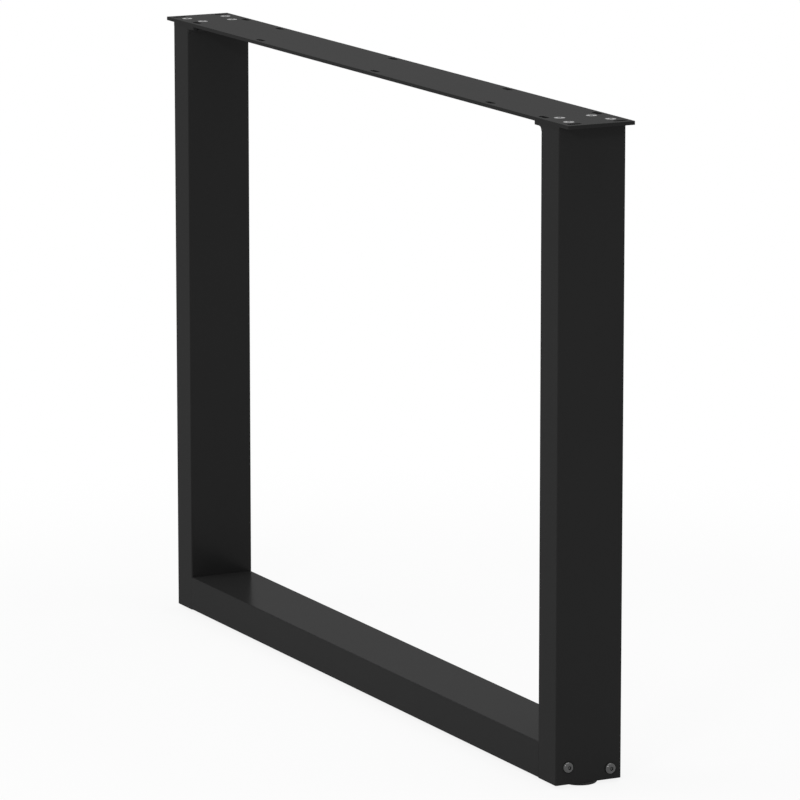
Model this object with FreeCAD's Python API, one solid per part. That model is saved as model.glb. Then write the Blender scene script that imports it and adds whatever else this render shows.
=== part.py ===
import FreeCAD, Part
import math
import os

from FreeCAD import Vector

# U shaped table leg: a flat plate for the table top, two posts and a floor bar, with two levelling feet.
# Millimetres. The origin is on the floor under the middle of the frame, with the feet screwed fully in.
# X runs along the plate, -Y is the front and +Z is up.

# Overall frame
HEIGHT = 720.0            # floor to the top of the plate
PLATE_LENGTH = 1000.0
FRAME_DEPTH = 80.0        # plate, posts and bar are flush front and back
PLATE_OVERHANG = 20.0     # plate past each post's outer face
PLATE_THICKNESS = 4.0
PLATE_CORNER = 1.0
POST_LIFT = 4.0           # under side of the posts above the floor

# Rectangular steel tube of the posts and of the bar
POST_THICKNESS = 40.0     # along X
BAR_HEIGHT = 40.0
TUBE_WALL = 2.0
TUBE_CORNER = 1.5
LEAST_CORNER = 0.3        # smallest inner corner that a thick wall leaves
SCRIBE = 0.6              # share of a post's corner that the bar's scribed end covers
WELDED_FIT = 0.1          # gap round a plate welded into a tube

# Head plate welded on each post, with a lip towards the inside of the frame
HEAD_THICKNESS = 4.0
HEAD_LIP = 15.0
WELD_LEG = 5.0
WELD_TOE = 0.3            # thickness of the bead where it runs out
WELD_THROAT = 2.2         # corner to the middle of the hollow bead
WELD_INSET = 0.4          # bead short of the front and back faces
WELD_STOP = 1.0           # bead short of the slots in the lip

# Slots for the table top's screws: two rows along the plate, and one pair across each end
SLOT_WIDTH = 6.5
SLOT_LENGTH = 16.5
SLOT_EDGE = 8.0           # middle of the rows to the plate's long edges
SLOT_TO_POST = 8.5        # middle of the slots beside the posts to the posts' inner faces
ROW_SLOT_FIRST_IN = 183.0   # first slot of the front row to the left post's inner face
ROW_SLOT_MIDDLE = 36.5      # its middle slot to the right of the frame's middle
ROW_SLOT_LAST_IN = 128.5    # its last slot to the right post's inner face
ROW_STAGGER = 81.5          # slots of the back row are this much further left
END_SLOT_IN = 10.0        # middle of the end pairs to the plate's ends
END_SLOT_EDGE = 12.5      # middle of the end pairs to the plate's long edges

# M6 countersunk socket screws that hold the plate on the head plates
PLATE_SCREW_OUTER_IN = 6.5      # outer pair, inside the post's outer face
PLATE_SCREW_INNER_IN = 2.5      # inner pair, outside the post's inner face
PLATE_SCREW_OUTER_EDGE = 14.8   # outer pair to the plate's long edges
PLATE_SCREW_INNER_EDGE = 20.8
COUNTERSINK_HEAD = 12.0         # diameter
COUNTERSINK_RIM = 0.3
COUNTERSINK_SOCKET_DEPTH = 2.4
PLATE_SCREW_SINK = 0.1          # head below the plate's surface
PLATE_SCREW_TIP_GAP = 0.2       # tip above the under side of the head plate

# M6 button head socket bolts through each post into the bar
BAR_BOLT_UPPER_EDGE = 15.0      # upper bolt to the front face, on the right post
BAR_BOLT_UPPER_RISE = 19.0      # above the under side of the post
BAR_BOLT_LOWER_EDGE = 13.5      # lower bolt to the back face
BAR_BOLT_LOWER_RISE = 12.0
BUTTON_HEAD = 12.5              # wide furniture head, diameter
BUTTON_HEIGHT = 3.5
BUTTON_RIM = 1.0
BUTTON_CROWN = 7.0              # diameter of the flat crown
BUTTON_BULGE = 0.4              # dome above the straight line from rim to crown
BUTTON_SOCKET_DEPTH = 2.0
BAR_BOLT_PAST = 5.0             # bolt past the tapped plate
BAR_END_THICKNESS = 5.0

# Common to the M6 screws
M6 = 6.0
M6_SOCKET = 4.0                 # across flats
M6_CLEARANCE = 0.3              # radial, in plain holes
THREAD_CLEARANCE = 0.05         # radial, in tapped holes
TIP_CHAMFER = 0.6
HEAD_CLEARANCE = 0.15           # radial, countersunk head in its seat
DRILL_POINT = 0.6               # height of a drill's point over its radius

# Levelling foot: M8 stud in a weld nut on the plate that closes the post
BASE_THICKNESS = 5.0
M8 = 8.0
STUD_RUNNING_FIT = 0.06         # radial, stud in the nut
BASE_HOLE_FIT = 0.4             # radial, stud in the base plate
NUT_FLATS = 13.0
NUT_HEIGHT = 6.5
NUT_CHAMFER = 0.6
FOOT_TRAVEL = 10.0
STUD_SPARE = 3.5                # stud above the nut with the foot let right down
PAD_INSET = 1.0                 # pad's rim inside the post's faces
PAD_GAP = 0.3                   # pad to the post with the foot fully in
PAD_FLOOR_CHAMFER = 0.8
PAD_TOP_CHAMFER = 0.5
STUD_PLATE = 16.0               # diameter of the stud's round plate, moulded into the pad
STUD_PLATE_THICKNESS = 1.5
PAD_FLOOR = 1.0                 # pad below that plate
MOULDED_FIT = 0.05              # gap between stud and pad

X_AXIS = Vector(1, 0, 0)
Y_AXIS = Vector(0, 1, 0)
Z_AXIS = Vector(0, 0, 1)

PLATE_TOP = HEIGHT
PLATE_UNDER = PLATE_TOP - PLATE_THICKNESS
HEAD_UNDER = PLATE_UNDER - HEAD_THICKNESS
POST_OUTER = PLATE_LENGTH / 2 - PLATE_OVERHANG
POST_INNER = POST_OUTER - POST_THICKNESS
POST_CENTRE = (POST_OUTER + POST_INNER) / 2
POST_UNDER = POST_LIFT
BAR_TOP = POST_UNDER + BAR_HEIGHT
BACK = FRAME_DEPTH / 2
BAR_BOLTS = {
    "upper": (BAR_BOLT_UPPER_EDGE - BACK, POST_UNDER + BAR_BOLT_UPPER_RISE),
    "lower": (BACK - BAR_BOLT_LOWER_EDGE, POST_UNDER + BAR_BOLT_LOWER_RISE),
}
PLATE_SCREWS = {
    "outer": (POST_OUTER - PLATE_SCREW_OUTER_IN, BACK - PLATE_SCREW_OUTER_EDGE),
    "inner": (POST_INNER + PLATE_SCREW_INNER_IN, BACK - PLATE_SCREW_INNER_EDGE),
}
SLOT_ROW = BACK - SLOT_EDGE


def block(x0, x1, y0, y1, z0, z1):
    return Part.makeBox(x1 - x0, y1 - y0, z1 - z0, Vector(x0, y0, z0))


def round_edges_along(solid, axis, radius):
    """Round every straight edge that runs along the axis."""
    edges = []
    for edge in solid.Edges:
        run = edge.lastVertex().Point - edge.firstVertex().Point
        if run.Length > 0 and abs(run.normalize().dot(axis)) > 0.999:
            edges.append(edge)
    return solid.makeFillet(radius, edges)


def rounded_block(x0, x1, y0, y1, z0, z1, axis, radius):
    return round_edges_along(block(x0, x1, y0, y1, z0, z1), axis, radius)


def inner_corner(gap=0.0):
    """Corner radius inside the tube, or of a plate that stands that gap off its wall."""
    return max(TUBE_CORNER - TUBE_WALL - gap, LEAST_CORNER)


def rod(start, axis, length, diameter, clearance=0.0):
    return Part.makeCylinder(diameter / 2 + clearance, length, start, axis)


def turned(points):
    """Solid of revolution about Z from (radius, height) points, anticlockwise.
    A third value is how far the edge that ends at the point bulges outwards."""
    edges = []
    for a, b in zip(points, points[1:] + points[:1]):
        start = Vector(a[0], 0, a[1])
        end = Vector(b[0], 0, b[1])
        if len(b) > 2:
            middle = (start + end) / 2
            across = Y_AXIS.cross(end - start).normalize()
            edges.append(Part.Arc(start, middle + across * b[2], end).toShape())
        else:
            edges.append(Part.makeLine(start, end))
    face = Part.Face(Part.Wire(edges))
    return face.revolve(Vector(0, 0, 0), Z_AXIS, 360)


def hexagon(flats, z0, z1):
    corner = flats / math.sqrt(3)
    points = [
        Vector(corner * math.cos(math.radians(60 * i)), corner * math.sin(math.radians(60 * i)), z0)
        for i in range(7)
    ]
    return Part.Face(Part.makePolygon(points)).extrude(Vector(0, 0, z1 - z0))


def hex_socket(flats, mouth, depth):
    """Tool for a hexagon socket that opens upwards at the mouth, with the drill's cone below."""
    bottom = mouth - depth
    drill = flats / 2
    cone = turned([(0, bottom - DRILL_POINT * drill), (drill, bottom), (0, bottom)])
    return hexagon(flats, bottom, mouth + depth).fuse(cone)


def placed(solid, position, axis=Z_AXIS):
    """Copy of a solid that was built about Z, moved so that Z points along the axis."""
    copy = solid.copy()
    copy.Placement = FreeCAD.Placement(position, FreeCAD.Rotation(Z_AXIS, axis))
    return copy


def other_side(solid):
    """The left post's piece: the right post's, turned half a turn about Z."""
    copy = solid.copy()
    copy.rotate(Vector(0, 0, 0), Z_AXIS, 180)
    return copy


def slot_places():
    """Middle of each slot for the table top's screws, and the axis that it runs along."""
    end = PLATE_LENGTH / 2 - END_SLOT_IN
    end_row = BACK - END_SLOT_EDGE
    beside_post = POST_INNER - SLOT_TO_POST
    places = []
    for side in (-1, 1):
        for face in (-1, 1):
            places.append((side * end, face * end_row, Y_AXIS))
            places.append((side * beside_post, face * SLOT_ROW, X_AXIS))
    for x in (ROW_SLOT_FIRST_IN - POST_INNER, ROW_SLOT_MIDDLE, POST_INNER - ROW_SLOT_LAST_IN):
        places.append((x, -SLOT_ROW, X_AXIS))
        places.append((x - ROW_STAGGER, SLOT_ROW, X_AXIS))
    return places


def slot_tool(x, y, along, z0, z1):
    """Tool for an upright slot with round ends."""
    middle = Vector(x, y, z0)
    tip = along * (SLOT_LENGTH / 2)
    run = along * ((SLOT_LENGTH - SLOT_WIDTH) / 2)
    side = Z_AXIS.cross(along) * (SLOT_WIDTH / 2)
    outline = [
        Part.makeLine(middle - run - side, middle + run - side),
        Part.Arc(middle + run - side, middle + tip, middle + run + side).toShape(),
        Part.makeLine(middle + run + side, middle - run + side),
        Part.Arc(middle - run + side, middle - tip, middle - run - side).toShape(),
    ]
    return Part.Face(Part.Wire(outline)).extrude(Vector(0, 0, z1 - z0))


def cut_slots(plate, z0, z1):
    for x, y, along in slot_places():
        plate = plate.cut(slot_tool(x, y, along, z0 - 1, z1 + 1))
    return plate


def countersunk_profile(clearance):
    """Head outline of a countersunk screw from its top face at height 0, down to the shank."""
    head = COUNTERSINK_HEAD / 2 + clearance
    shank = M6 / 2 + clearance
    neck = -COUNTERSINK_RIM - (head - shank)
    return [(head, 0), (head, -COUNTERSINK_RIM), (shank, neck)]


def plate_screw_places():
    """Name and centre of each screw that holds the plate."""
    places = {}
    for side, side_sign in (("left", -1), ("right", 1)):
        for row, (x, y) in PLATE_SCREWS.items():
            for face, face_sign in (("front", -1), ("back", 1)):
                places[f"{side}_plate_screw_{row}_{face}"] = (side_sign * x, face_sign * y)
    return places


def top_plate():
    half = PLATE_LENGTH / 2
    plate = rounded_block(-half, half, -BACK, BACK, PLATE_UNDER, PLATE_TOP, Z_AXIS, PLATE_CORNER)
    plate = cut_slots(plate, PLATE_UNDER, PLATE_TOP)
    seat_top = PLATE_TOP - PLATE_SCREW_SINK
    outline = countersunk_profile(HEAD_CLEARANCE)
    head, shank = outline[0][0], outline[-1][0]
    seat = turned([(0, 1), (head, 1)] + outline + [(shank, -PLATE_THICKNESS - 1), (0, -PLATE_THICKNESS - 1)])
    for x, y in plate_screw_places().values():
        plate = plate.cut(placed(seat, Vector(x, y, seat_top)))
    return plate


def plate_screw():
    """Countersunk socket screw with the middle of its top face at the origin."""
    tip = -(PLATE_THICKNESS + HEAD_THICKNESS - PLATE_SCREW_SINK - PLATE_SCREW_TIP_GAP)
    radius = M6 / 2
    point = [(radius, tip + TIP_CHAMFER), (radius - TIP_CHAMFER, tip), (0, tip)]
    screw = turned([(0, 0)] + countersunk_profile(0) + point)
    return screw.cut(hex_socket(M6_SOCKET, 0, COUNTERSINK_SOCKET_DEPTH))


def bar_bolt():
    """Button head bolt built about Z, with the seat of its head at height 0 and the crown above."""
    radius = M6 / 2
    head = BUTTON_HEAD / 2
    crown = BUTTON_CROWN / 2
    tip = -(POST_THICKNESS + BAR_END_THICKNESS + BAR_BOLT_PAST)
    bolt = turned([
        (0, tip),
        (radius - TIP_CHAMFER, tip),
        (radius, tip + TIP_CHAMFER),
        (radius, 0),
        (head, 0),
        (head, BUTTON_RIM),
        (crown, BUTTON_HEIGHT, BUTTON_BULGE),
        (0, BUTTON_HEIGHT),
    ])
    return bolt.cut(hex_socket(M6_SOCKET, BUTTON_HEIGHT, BUTTON_SOCKET_DEPTH))


def post_outline():
    """Solid outer form of the right post."""
    return rounded_block(POST_INNER, POST_OUTER, -BACK, BACK, POST_UNDER, HEAD_UNDER, Z_AXIS, TUBE_CORNER)


def in_post(gap, z0, z1):
    """Solid that fills the right post's bore less a gap."""
    inset = TUBE_WALL + gap
    depth = BACK - inset
    return rounded_block(
        POST_INNER + inset, POST_OUTER - inset, -depth, depth, z0, z1, Z_AXIS, inner_corner(gap)
    )


def post():
    """Tube of the right post, with plain holes through both walls for the bar's bolts."""
    tube = post_outline().cut(in_post(0, POST_UNDER - 1, HEAD_UNDER + 1))
    for y, z in BAR_BOLTS.values():
        start = Vector(POST_INNER - 1, y, z)
        tube = tube.cut(rod(start, X_AXIS, POST_THICKNESS + 2, M6, M6_CLEARANCE))
    return tube


def head_plate():
    """Plate on top of the right post, tapped for the plate's screws. The slots beside the post
    run out through the edge of its lip."""
    plate = rounded_block(
        POST_INNER - HEAD_LIP, POST_OUTER, -BACK, BACK, HEAD_UNDER, PLATE_UNDER, Z_AXIS, PLATE_CORNER
    )
    for x, y in PLATE_SCREWS.values():
        for sign in (-1, 1):
            start = Vector(x, sign * y, HEAD_UNDER - 1)
            plate = plate.cut(rod(start, Z_AXIS, HEAD_THICKNESS + 2, M6, THREAD_CLEARANCE))
    return cut_slots(plate, HEAD_UNDER, PLATE_UNDER)


def head_weld():
    """Hollow fillet bead between the right post's inner face and the lip of its head plate, in three
    runs that stop short of the slots. It fills the gap behind the post's rounded corners."""
    toe_x = POST_INNER - WELD_LEG
    toe_z = HEAD_UNDER - WELD_LEG
    root = POST_INNER + TUBE_CORNER
    throat = WELD_THROAT / math.sqrt(2)
    lip_toe = Vector(toe_x, 0, HEAD_UNDER - WELD_TOE)
    post_toe = Vector(POST_INNER - WELD_TOE, 0, toe_z)
    hollow = Part.Arc(lip_toe, Vector(POST_INNER - throat, 0, HEAD_UNDER - throat), post_toe)
    outline = [Vector(root, 0, toe_z), Vector(root, 0, HEAD_UNDER), Vector(toe_x, 0, HEAD_UNDER), lip_toe]
    edges = [hollow.toShape(), Part.makeLine(post_toe, outline[0])]
    for a, b in zip(outline, outline[1:]):
        edges.append(Part.makeLine(a, b))
    section = Part.Face(Part.Wire(Part.sortEdges(edges)[0]))
    half = BACK - WELD_INSET
    section.translate(Vector(0, -half, 0))
    bead = section.extrude(Vector(0, 2 * half, 0)).cut(post_outline())
    stop = SLOT_WIDTH / 2 + WELD_STOP
    for y in (-SLOT_ROW, SLOT_ROW):
        bead = bead.cut(block(toe_x - 1, root + 1, y - stop, y + stop, toe_z - 1, HEAD_UNDER + 1))
    return bead


def base_plate():
    """Plate welded into the foot of the right post, flush with its under side."""
    plate = in_post(WELDED_FIT, POST_UNDER, POST_UNDER + BASE_THICKNESS)
    start = Vector(POST_CENTRE, 0, POST_UNDER - 1)
    return plate.cut(rod(start, Z_AXIS, BASE_THICKNESS + 2, M8, BASE_HOLE_FIT))


def foot_nut():
    """Hexagon weld nut on the base plate, which the foot's stud runs in."""
    seat = POST_UNDER + BASE_THICKNESS
    nut = hexagon(NUT_FLATS, 0, NUT_HEIGHT)
    corner = NUT_FLATS / math.sqrt(3)
    flat = NUT_FLATS / 2
    envelope = turned([
        (0, 0),
        (corner, 0),
        (corner, NUT_HEIGHT - NUT_CHAMFER),
        (flat - NUT_CHAMFER / 2, NUT_HEIGHT),
        (0, NUT_HEIGHT),
    ])
    bore = rod(Vector(0, 0, -1), Z_AXIS, NUT_HEIGHT + 2, M8, STUD_RUNNING_FIT)
    return placed(nut.common(envelope).cut(bore), Vector(POST_CENTRE, 0, seat))


def foot_pad():
    """Round pad on the floor, moulded round the stud's plate."""
    radius = POST_THICKNESS / 2 - PAD_INSET
    top = POST_LIFT - PAD_GAP
    plate_radius = STUD_PLATE / 2 + MOULDED_FIT
    plate_top = PAD_FLOOR + STUD_PLATE_THICKNESS + MOULDED_FIT
    neck = M8 / 2 + MOULDED_FIT
    pad = turned([
        (0, 0),
        (radius - PAD_FLOOR_CHAMFER, 0),
        (radius, PAD_FLOOR_CHAMFER),
        (radius, top - PAD_TOP_CHAMFER),
        (radius - PAD_TOP_CHAMFER, top),
        (neck, top),
        (neck, plate_top),
        (plate_radius, plate_top),
        (plate_radius, PAD_FLOOR - MOULDED_FIT),
        (0, PAD_FLOOR - MOULDED_FIT),
    ])
    return placed(pad, Vector(POST_CENTRE, 0, 0))


def foot_stud():
    """Threaded stud with a round plate at its lower end; it turns in the nut to set the height."""
    radius = M8 / 2
    plate = STUD_PLATE / 2
    tip = POST_UNDER + BASE_THICKNESS + NUT_HEIGHT + FOOT_TRAVEL + STUD_SPARE
    stud = turned([
        (0, PAD_FLOOR),
        (plate, PAD_FLOOR),
        (plate, PAD_FLOOR + STUD_PLATE_THICKNESS),
        (radius, PAD_FLOOR + STUD_PLATE_THICKNESS),
        (radius, tip - TIP_CHAMFER),
        (radius - TIP_CHAMFER, tip),
        (0, tip),
    ])
    return placed(stud, Vector(POST_CENTRE, 0, 0))


def bar_section(inset, x0, x1, radius):
    depth = BACK - inset
    return rounded_block(x0, x1, -depth, depth, POST_UNDER + inset, BAR_TOP - inset, X_AXIS, radius)


def bottom_bar():
    """Floor bar between the posts. Its ends are scribed to the posts' rounded corners,
    so that the faces meet flush with no groove."""
    reach = POST_INNER + SCRIBE * TUBE_CORNER
    bar = bar_section(0, -reach, reach, TUBE_CORNER)
    bar = bar.cut(bar_section(TUBE_WALL, -reach - 1, reach + 1, inner_corner()))
    bar = bar.cut(post_outline())
    return bar.cut(other_side(post_outline()))


def bar_end():
    """Plate welded into the right end of the bar, tapped for the bolts."""
    plate = bar_section(
        TUBE_WALL + WELDED_FIT, POST_INNER - BAR_END_THICKNESS, POST_INNER, inner_corner(WELDED_FIT)
    )
    for y, z in BAR_BOLTS.values():
        start = Vector(POST_INNER - BAR_END_THICKNESS - 1, y, z)
        plate = plate.cut(rod(start, X_AXIS, BAR_END_THICKNESS + 2, M6, THREAD_CLEARANCE))
    return plate


def all_pieces():
    pieces = {"top_plate": top_plate(), "bottom_bar": bottom_bar()}
    right_pieces = {
        "post": post(),
        "head_plate": head_plate(),
        "head_weld": head_weld(),
        "base_plate": base_plate(),
        "foot_nut": foot_nut(),
        "foot_stud": foot_stud(),
        "foot_pad": foot_pad(),
        "bar_end": bar_end(),
    }
    bolt = bar_bolt()
    for name, (y, z) in BAR_BOLTS.items():
        right_pieces[f"bar_bolt_{name}"] = placed(bolt, Vector(POST_OUTER, y, z), X_AXIS)
    for name, solid in right_pieces.items():
        pieces[f"right_{name}"] = solid
        pieces[f"left_{name}"] = other_side(solid)
    screw = plate_screw()
    for name, (x, y) in plate_screw_places().items():
        pieces[name] = placed(screw, Vector(x, y, PLATE_TOP - PLATE_SCREW_SINK))
    return pieces


os.makedirs("parts", exist_ok=True)
for name, solid in all_pieces().items():
    solid.exportStep(f"parts/{name}.step")
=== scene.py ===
import math

import bpy
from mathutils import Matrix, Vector


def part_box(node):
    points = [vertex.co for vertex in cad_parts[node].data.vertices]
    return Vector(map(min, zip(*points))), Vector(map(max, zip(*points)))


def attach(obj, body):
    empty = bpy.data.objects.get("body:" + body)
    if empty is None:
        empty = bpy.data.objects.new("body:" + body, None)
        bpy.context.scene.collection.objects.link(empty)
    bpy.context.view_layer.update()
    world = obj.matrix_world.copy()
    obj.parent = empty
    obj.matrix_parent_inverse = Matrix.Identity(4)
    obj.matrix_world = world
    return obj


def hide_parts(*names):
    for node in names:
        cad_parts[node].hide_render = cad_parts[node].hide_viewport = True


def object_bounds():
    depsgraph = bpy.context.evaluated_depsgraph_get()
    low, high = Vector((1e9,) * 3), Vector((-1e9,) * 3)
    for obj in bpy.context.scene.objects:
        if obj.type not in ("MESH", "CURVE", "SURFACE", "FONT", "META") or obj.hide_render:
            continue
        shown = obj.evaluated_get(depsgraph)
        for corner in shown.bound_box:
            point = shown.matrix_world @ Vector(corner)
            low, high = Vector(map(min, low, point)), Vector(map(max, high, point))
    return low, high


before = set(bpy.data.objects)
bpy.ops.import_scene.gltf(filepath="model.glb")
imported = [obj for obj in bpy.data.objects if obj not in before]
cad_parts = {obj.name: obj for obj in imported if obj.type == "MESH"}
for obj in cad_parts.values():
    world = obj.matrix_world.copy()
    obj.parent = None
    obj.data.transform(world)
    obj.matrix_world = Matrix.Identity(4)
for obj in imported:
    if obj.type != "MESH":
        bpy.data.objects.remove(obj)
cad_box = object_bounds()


# Posts and floor bar: cold rolled 80 x 40 mm steel tube with 2 mm walls, sawn to length and powder coated
# before the frame is put together. The bar's ends are scribed to the posts' rounded corners, so that the
# front faces meet with no groove.
MM = 0.001


def linear(hex_colour):
    """Linear RGBA of an sRGB colour in six hex digits, by the constants of the sRGB standard."""
    shares = [int(hex_colour[i : i + 2], 16) / 255 for i in (0, 2, 4)]
    return [s / 12.92 if s <= 0.04045 else ((s + 0.055) / 1.055) ** 2.4 for s in shares] + [1.0]


def add(tree, kind, settings, inputs):
    """Add a node, with its own settings, and its inputs as values or as links from other nodes."""
    node = tree.nodes.new(kind)
    for name, value in settings.items():
        setattr(node, name, value)
    for name, value in inputs.items():
        if isinstance(value, bpy.types.NodeSocket):
            tree.links.new(value, node.inputs[name])
        else:
            node.inputs[name].default_value = value
    return node


def new_material(name):
    """Material with an empty node tree."""
    material = bpy.data.materials.new(name)
    material.use_nodes = True
    material.node_tree.nodes.clear()
    return material


def satin_black_powder_coat(name, film_share, film_roughness):
    """Black polyester powder, sprayed dry and baked at 180 C. It flows out over the steel to an even film: a
    nearly matt black body, and over it a faint gloss that shows only where the eye grazes the surface."""
    body = linear("242424")
    body_thin = linear("282828")
    body_roughness = 0.6       # and no gloss of its own
    film_ior = 1.5             # cured polyester
    peel_wave = 2.2 * MM       # real orange peel is 1 to 3 mm from crest to crest
    peel_depth = 0.003 * MM    # a fine finish, whose peel shows only in reflections
    speck = 0.7 * MM           # pigment grains are finer; this is as coarse as it needs to show
    flow = 90 * MM             # slow change in the film's thickness along the tube
    material = new_material(name)
    tree = material.node_tree
    place = add(tree, "ShaderNodeTexCoord", {}, {}).outputs["Object"]
    grains = add(tree, "ShaderNodeTexNoise", {}, {"Vector": place, "Scale": 1 / speck, "Detail": 1.0})
    run = add(tree, "ShaderNodeTexNoise", {}, {"Vector": place, "Scale": 1 / flow, "Detail": 2.0})
    peel = add(tree, "ShaderNodeTexNoise", {}, {"Vector": place, "Scale": 1 / peel_wave, "Detail": 1.5})
    thin = add(
        tree, "ShaderNodeMath", {"operation": "MULTIPLY"},
        {0: grains.outputs["Fac"], 1: run.outputs["Fac"]},
    )
    colour = add(
        tree, "ShaderNodeMix", {"data_type": "RGBA"},
        {"Factor": thin.outputs[0], "A": body, "B": body_thin},
    )
    relief = add(
        tree, "ShaderNodeBump", {},
        {"Height": peel.outputs["Fac"], "Distance": peel_depth, "Strength": 1.0},
    )
    surface = add(
        tree, "ShaderNodeBsdfPrincipled", {},
        {
            "Base Color": colour.outputs["Result"],
            "Roughness": body_roughness,
            "Specular IOR Level": 0.0,
            "Coat Weight": film_share,
            "Coat Roughness": film_roughness,
            "Coat IOR": film_ior,
            "Normal": relief.outputs["Normal"],
            "Coat Normal": relief.outputs["Normal"],
        },
    )
    add(tree, "ShaderNodeOutputMaterial", {}, {"Surface": surface.outputs["BSDF"]})
    return material


def finish_nodes(material, *nodes):
    """Give carried-over CAD nodes their finish."""
    for node in nodes:
        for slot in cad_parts[node].material_slots:
            slot.material = material


coat_on_tube = satin_black_powder_coat(
    "satin_black_powder_coat_on_tube", film_share=0.135, film_roughness=0.22
)
finish_nodes(coat_on_tube, "left_post", "right_post", "bottom_bar")


# Top plate, head plates, welds and base plates: 4 mm and 5 mm hot rolled steel plate, laser cut. The head and
# base plates are welded to the posts. All of it has the same powder coat, in the slots and seats too, and its
# film lies a little duller here, because the hot rolled steel under it is rougher than the tube's.
coat_on_plate = satin_black_powder_coat(
    "satin_black_powder_coat_on_plate", film_share=0.12, film_roughness=0.25
)
finish_nodes(
    coat_on_plate,
    "top_plate",
    "left_head_plate", "right_head_plate",
    "left_head_weld", "right_head_weld",
    "left_base_plate", "right_base_plate",
)


# Screws: M6 x 8 countersunk screws that hold the plate on the posts' heads, and M6 x 50 bolts with wide low
# round heads through each post into the bar. Cold forged, with a hexagon socket, and plated dark. The screws'
# plating is painted paler than the bolts', as painted light on the lit top of the frame, and the bolts'
# plating is painted darker, as painted shade on its ends.
def dark_zinc_plating(name, head, axis, plating, rubbed, socket_shade, smoothest):
    """Steel that was cold forged, then zinc plated and passivated dark: a dark metal with a silver sheen. The
    hexagon socket is painted darker, as painted shade in the recess. head is one of the screws, and axis is
    the way that its top faces."""
    socket_radius = 2.35 * MM  # just past the corners of the 4 mm hexagon
    socket_lip = 0.25 * MM     # the painted shade in the socket starts this far below the head's top
    ring_pitch = 0.45 * MM     # marks of the forging die are finer; this is as coarse as it needs to show
    ring_depth = 0.004 * MM
    stain = 1.5 * MM           # the passivation dries in stains of about this size
    stain_low = 0.3            # the stains' noise lies mostly between these two
    stain_high = 0.7
    stain_spread = 0.08        # how much duller the dullest stain is
    low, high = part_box(head)
    width = high.y - low.y
    crown = high.dot(Vector(axis))
    across = [1 - share for share in axis]
    material = new_material(name)
    tree = material.node_tree
    coordinates = add(tree, "ShaderNodeTexCoord", {}, {})
    centred = add(
        tree, "ShaderNodeVectorMath", {"operation": "SUBTRACT"},
        {0: coordinates.outputs["Generated"], 1: (0.5, 0.5, 0.5)},
    )
    flat = add(tree, "ShaderNodeVectorMath", {"operation": "MULTIPLY"}, {0: centred.outputs[0], 1: across})
    radius = add(tree, "ShaderNodeVectorMath", {"operation": "LENGTH"}, {0: flat.outputs[0]})
    turns = add(
        tree, "ShaderNodeMath", {"operation": "MULTIPLY"},
        {0: radius.outputs["Value"], 1: math.tau * width / ring_pitch},
    )
    rings = add(tree, "ShaderNodeMath", {"operation": "SINE"}, {0: turns.outputs[0]})
    patches = add(
        tree, "ShaderNodeTexNoise", {},
        {"Vector": coordinates.outputs["Object"], "Scale": 1 / stain, "Detail": 2.0},
    )
    outer = add(
        tree, "ShaderNodeMix", {"data_type": "RGBA"},
        {"Factor": patches.outputs["Fac"], "A": linear(plating), "B": linear(rubbed)},
    )
    # Bolts at both ends of the frame share one material, so depth is told by the distance from the middle.
    outward = add(
        tree, "ShaderNodeVectorMath", {"operation": "ABSOLUTE"}, {0: coordinates.outputs["Object"]}
    )
    reach = add(tree, "ShaderNodeVectorMath", {"operation": "DOT_PRODUCT"}, {0: outward.outputs[0], 1: axis})
    below = add(
        tree, "ShaderNodeMath", {"operation": "LESS_THAN"},
        {0: reach.outputs["Value"], 1: crown - socket_lip},
    )
    near_axis = add(
        tree, "ShaderNodeMath", {"operation": "LESS_THAN"},
        {0: radius.outputs["Value"], 1: socket_radius / width},
    )
    socket_shade_mask = add(
        tree, "ShaderNodeMath", {"operation": "MULTIPLY"},
        {0: below.outputs[0], 1: near_axis.outputs[0]},
    )
    # Painted shade: the colour is darker inside the hexagon socket.
    colour = add(
        tree, "ShaderNodeMix", {"data_type": "RGBA"},
        {"Factor": socket_shade_mask.outputs[0], "A": outer.outputs["Result"], "B": linear(socket_shade)},
    )
    dull = add(
        tree, "ShaderNodeMapRange", {},
        {
            "Value": patches.outputs["Fac"], "From Min": stain_low, "From Max": stain_high,
            "To Min": smoothest, "To Max": smoothest + stain_spread,
        },
    )
    relief = add(
        tree, "ShaderNodeBump", {},
        {"Height": rings.outputs[0], "Distance": ring_depth, "Strength": 1.0},
    )
    surface = add(
        tree, "ShaderNodeBsdfPrincipled", {},
        {
            "Base Color": colour.outputs["Result"],
            "Metallic": 1.0,
            "Roughness": dull.outputs["Result"],
            "Normal": relief.outputs["Normal"],
        },
    )
    add(tree, "ShaderNodeOutputMaterial", {}, {"Surface": surface.outputs["BSDF"]})
    return material


# The same plating in both: painted light makes the screws' colours paler on the lit top, and painted shade
# makes the bolts' colours darker on the shaded ends.
screw_plating = dark_zinc_plating(
    "dark_zinc_plating_on_screws", head="right_plate_screw_outer_front", axis=(0, 0, 1),
    plating="6E6E6E", rubbed="7E7E7E", socket_shade="5C5C5C", smoothest=0.22,
)
bolt_plating = dark_zinc_plating(
    "dark_zinc_plating_on_bolts", head="right_bar_bolt_upper", axis=(1, 0, 0),
    plating="4D4D4D", rubbed="595959", socket_shade="484848", smoothest=0.20,
)
for side in ("left", "right"):
    for row in ("outer", "inner"):
        for face in ("front", "back"):
            finish_nodes(screw_plating, f"{side}_plate_screw_{row}_{face}")
    finish_nodes(bolt_plating, f"{side}_bar_bolt_upper", f"{side}_bar_bolt_lower")


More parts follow.
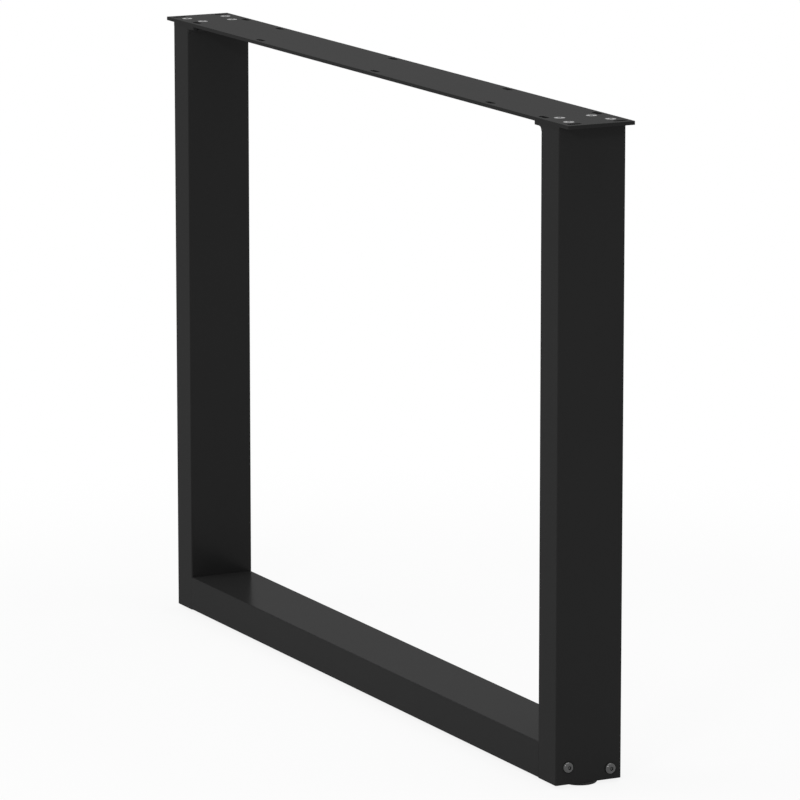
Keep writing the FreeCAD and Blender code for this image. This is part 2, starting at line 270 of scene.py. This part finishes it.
# Tapped plates in the bar's ends and weld nuts in the posts' feet: plain mill steel, which stays bare because
# it is closed in before the coating.
def mill_steel():
    """Hot rolled steel with its blue grey scale, dull and slightly blotched."""
    scale_skin = linear("6A6C70")
    bare = linear("8A8A8A")
    scale_roughness = 0.5
    blotch = 6 * MM            # the scale wears off in spots of about this size
    material = new_material("hot_rolled_mill_steel")
    tree = material.node_tree
    place = add(tree, "ShaderNodeTexCoord", {}, {}).outputs["Object"]
    blotches = add(tree, "ShaderNodeTexNoise", {}, {"Vector": place, "Scale": 1 / blotch, "Detail": 4.0})
    colour = add(
        tree, "ShaderNodeMix", {"data_type": "RGBA"},
        {"Factor": blotches.outputs["Fac"], "A": scale_skin, "B": bare},
    )
    surface = add(
        tree, "ShaderNodeBsdfPrincipled", {},
        {"Base Color": colour.outputs["Result"], "Metallic": 1.0, "Roughness": scale_roughness},
    )
    add(tree, "ShaderNodeOutputMaterial", {}, {"Surface": surface.outputs["BSDF"]})
    return material


finish_nodes(mill_steel(), "left_bar_end", "right_bar_end", "left_foot_nut", "right_foot_nut")


# Levelling feet: an M8 stud with a round plate at its lower end, and a black pad moulded round that plate.
# The stud screws into the nut in the post's foot, and 10 mm of its thread shows when the foot is let down.
def bright_zinc():
    """Rolled thread, zinc plated: light grey metal with a slightly uneven shine."""
    bright = linear("B9BABC")
    dull = linear("9C9DA0")
    rolled_roughness = 0.3
    patch = 2 * MM             # the zinc goes on unevenly in patches of about this size
    material = new_material("zinc_plated_rolled_thread")
    tree = material.node_tree
    place = add(tree, "ShaderNodeTexCoord", {}, {}).outputs["Object"]
    patches = add(tree, "ShaderNodeTexNoise", {}, {"Vector": place, "Scale": 1 / patch, "Detail": 3.0})
    colour = add(
        tree, "ShaderNodeMix", {"data_type": "RGBA"},
        {"Factor": patches.outputs["Fac"], "A": dull, "B": bright},
    )
    surface = add(
        tree, "ShaderNodeBsdfPrincipled", {},
        {"Base Color": colour.outputs["Result"], "Metallic": 1.0, "Roughness": rolled_roughness},
    )
    add(tree, "ShaderNodeOutputMaterial", {}, {"Surface": surface.outputs["BSDF"]})
    return material


def moulded_polypropylene():
    """Injection moulded black plastic with a fine spark eroded grain, duller than the coat above it."""
    pigment = linear("2A2A2A")
    pigment_thin = linear("2E2E2E")
    grain = 0.8 * MM           # real grain is finer; this is as coarse as it needs to show
    grain_depth = 0.02 * MM
    grain_roughness = 0.55
    grained_ior = 1.25         # below the plastic's 1.49, because the grain breaks up its gloss
    material = new_material("moulded_black_polypropylene")
    tree = material.node_tree
    place = add(tree, "ShaderNodeTexCoord", {}, {}).outputs["Object"]
    texture = add(tree, "ShaderNodeTexNoise", {}, {"Vector": place, "Scale": 1 / grain, "Detail": 3.0})
    shade = add(
        tree, "ShaderNodeMix", {"data_type": "RGBA"},
        {"Factor": texture.outputs["Fac"], "A": pigment, "B": pigment_thin},
    )
    relief = add(
        tree, "ShaderNodeBump", {},
        {"Height": texture.outputs["Fac"], "Distance": grain_depth, "Strength": 1.0},
    )
    surface = add(
        tree, "ShaderNodeBsdfPrincipled", {},
        {
            "Base Color": shade.outputs["Result"],
            "Roughness": grain_roughness,
            "IOR": grained_ior,
            "Normal": relief.outputs["Normal"],
        },
    )
    add(tree, "ShaderNodeOutputMaterial", {}, {"Surface": surface.outputs["BSDF"]})
    return material


def threaded_stud(name, node, material):
    """Mesh of the stud that stands for a CAD node: round plate, rolled M8 thread and chamfered tip."""
    thread_pitch = 1.25 * MM
    depth = 0.61 * thread_pitch    # of an ISO metric thread
    crest = 4.0 * MM               # radius of the thread's crests
    plate_thickness = 1.5 * MM
    run_out = 1.0 * MM             # length over which the thread fades out above the plate
    chamfer = 0.6 * MM
    sharp_edge = math.radians(35)
    around = 64
    rows_per_turn = 16
    low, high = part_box(node)
    middle = (low + high) / 2
    plate_radius = (high.x - low.x) / 2
    shank_low = low.z + plate_thickness

    def groove(turn):
        """Share of the thread's depth that is cut at that share of a turn: crest, flank, root, flank."""
        flat_crest = 1 / 8
        flank = 5 / 16
        from_root = abs(turn - 0.5) * 2
        return min(1.0, max(0.0, (1 - from_root - flat_crest) / (2 * flank)))

    def shank_radius(z, angle):
        """Radius of the shank's surface at that height and angle."""
        turn = (z / thread_pitch - angle / math.tau) % 1.0
        cut = depth * groove(turn)
        cut *= min(1.0, max(0.0, (z - shank_low - run_out / 2) / run_out))
        tip = crest - chamfer + (high.z - z)
        return min(crest - cut, tip)

    rows = round((high.z - shank_low) / thread_pitch * rows_per_turn)
    rings = [(low.z, plate_radius), (shank_low, plate_radius)]
    rings += [(shank_low + (high.z - shank_low) * i / rows, None) for i in range(rows + 1)]
    vertices = []
    for z, radius in rings:
        for j in range(around):
            angle = math.tau * j / around
            r = shank_radius(z, angle) if radius is None else radius
            vertices.append((middle.x + r * math.cos(angle), middle.y + r * math.sin(angle), z))
    faces = []
    for i in range(len(rings) - 1):
        for j in range(around):
            k = (j + 1) % around
            faces.append((i * around + j, i * around + k, (i + 1) * around + k, (i + 1) * around + j))
    faces.append(tuple(reversed(range(around))))
    faces.append(tuple((len(rings) - 1) * around + j for j in range(around)))
    mesh = bpy.data.meshes.new(name)
    mesh.from_pydata(vertices, [], faces)
    mesh.materials.append(material)
    mesh.shade_smooth()
    mesh.set_sharp_from_angle(angle=sharp_edge)
    stud = bpy.data.objects.new(name, mesh)
    bpy.context.scene.collection.objects.link(stud)
    return stud


rolled_thread = bright_zinc()
pad_plastic = moulded_polypropylene()
for side in ("left", "right"):
    stud = threaded_stud(f"{side}_threaded_stud", f"{side}_foot_stud", rolled_thread)
    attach(stud, f"{side}_foot")
    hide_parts(f"{side}_foot_stud")
    finish_nodes(pad_plastic, f"{side}_foot_pad")


# Studio: a floor of pale matt paper in a white surround, lit by a large soft box from the front, one overhead
# and a small one that catches the round bolt heads. Each half of the floor stays under its own foot, as an
# uneven floor does under a levelled frame.
def seen_directly(tree):
    """1 for rays that show the floor or the surround, to the camera or in a reflection, and 0 for the rays of
    their light."""
    path = add(tree, "ShaderNodeLightPath", {}, {})
    eye = add(
        tree, "ShaderNodeMath", {"operation": "ADD"},
        {0: path.outputs["Is Camera Ray"], 1: path.outputs["Is Glossy Ray"]},
    )
    return add(
        tree, "ShaderNodeMath", {"operation": "ADD", "use_clamp": True},
        {0: eye.outputs[0], 1: path.outputs["Is Transmission Ray"]},
    ).outputs[0]


def white_floor():
    """Pale matt paper that takes the frame's shadow. Near the frame the eye sees it mostly as plain white, so
    that the shadow is faint, and further away as plain white alone."""
    pale_paper = linear("E4E4E4")
    plain_white = linear("FFFFFF")
    plain_share = 0.88
    fade_start = 0.6
    fade_end = 1.3
    material = new_material("white_studio_floor")
    tree = material.node_tree
    place = add(tree, "ShaderNodeTexCoord", {}, {}).outputs["Object"]
    away = add(tree, "ShaderNodeVectorMath", {"operation": "LENGTH"}, {0: place})
    fade = add(
        tree, "ShaderNodeMapRange", {"interpolation_type": "SMOOTHSTEP"},
        {"Value": away.outputs["Value"], "From Min": fade_start, "From Max": fade_end, "To Min": plain_share},
    )
    share = add(
        tree, "ShaderNodeMath", {"operation": "MULTIPLY"},
        {0: fade.outputs["Result"], 1: seen_directly(tree)},
    )
    matt = add(tree, "ShaderNodeBsdfDiffuse", {}, {"Color": pale_paper})
    plain = add(tree, "ShaderNodeEmission", {}, {"Color": plain_white, "Strength": 1.0})
    mixed = add(
        tree, "ShaderNodeMixShader", {},
        {0: share.outputs[0], 1: matt.outputs["BSDF"], 2: plain.outputs["Emission"]},
    )
    add(tree, "ShaderNodeOutputMaterial", {}, {"Surface": mixed.outputs["Shader"]})
    return material


floor_reach = 20.0
paper = white_floor()
for side, x in (("left", -floor_reach), ("right", floor_reach)):
    mesh = bpy.data.meshes.new(f"{side}_floor")
    corners = [(0, -floor_reach, 0), (x, -floor_reach, 0), (x, floor_reach, 0), (0, floor_reach, 0)]
    mesh.from_pydata(corners, [], [(0, 1, 2, 3)])
    mesh.materials.append(paper)
    floor = bpy.data.objects.new(f"{side}_floor", mesh)
    bpy.context.scene.collection.objects.link(floor)
    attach(floor, f"{side}_foot")

frame_middle = (cad_box[0] + cad_box[1]) / 2


def soft_box(name, place, size, brightness):
    """Square lamp aimed at the frame. brightness is what it adds to a white surface that faces it: a lamp of
    power P lights it with P / (pi * distance ** 2), and matt white gives back a pi-th of that."""
    distance = (Vector(place) - frame_middle).length
    lamp = bpy.data.lights.new(name, "AREA")
    lamp.size = size
    lamp.energy = brightness * (math.pi * distance) ** 2
    box = bpy.data.objects.new(name, lamp)
    box.location = place
    box.rotation_mode = "QUATERNION"
    box.rotation_quaternion = (frame_middle - Vector(place)).to_track_quat("-Z", "Y")
    box.visible_camera = False
    bpy.context.scene.collection.objects.link(box)


soft_box("front_box", place=(-1.5, -4.5, 3.6), size=3.5, brightness=0.21)
soft_box("overhead_box", place=(0.0, 0.3, 5.5), size=5.0, brightness=0.66)
soft_box("catch_light", place=(2.9, -3.0, 2.4), size=0.4, brightness=0.12)

surround_light = 0.43    # what the surround adds to a white surface; it shows as plain white all the same
world = bpy.data.worlds.new("white_surround")
world.use_nodes = True
world.node_tree.nodes.clear()
strength = add(
    world.node_tree, "ShaderNodeMapRange", {},
    {"Value": seen_directly(world.node_tree), "To Min": surround_light, "To Max": 1.0},
)
surround = add(
    world.node_tree, "ShaderNodeBackground", {},
    {"Color": linear("FFFFFF"), "Strength": strength.outputs["Result"]},
)
add(world.node_tree, "ShaderNodeOutputWorld", {}, {"Surface": surround.outputs["Background"]})
bpy.context.scene.world = world
bpy.context.scene.view_settings.view_transform = "Standard"


# Camera: a long lens from the right, the front and above. Its place, its aim and the length of its lens were
# fitted to the straight edges in the photograph, and it has no shift.
camera_place = Vector((5.650, -2.867, 1.592))
camera_aim = Vector((0.0354, 0.0, 0.3433))
focal_length_px = 5687.5
picture_px = 800
camera = bpy.data.objects.new("camera", bpy.data.cameras.new("camera"))
camera.data.sensor_width = 36.0
camera.data.lens = focal_length_px / picture_px * camera.data.sensor_width
camera.data.clip_start = 0.1
camera.data.clip_end = 100.0
camera.location = camera_place
camera.rotation_mode = "QUATERNION"
camera.rotation_quaternion = (camera_aim - camera_place).to_track_quat("-Z", "Y")
bpy.context.scene.collection.objects.link(camera)
bpy.context.scene.camera = camera
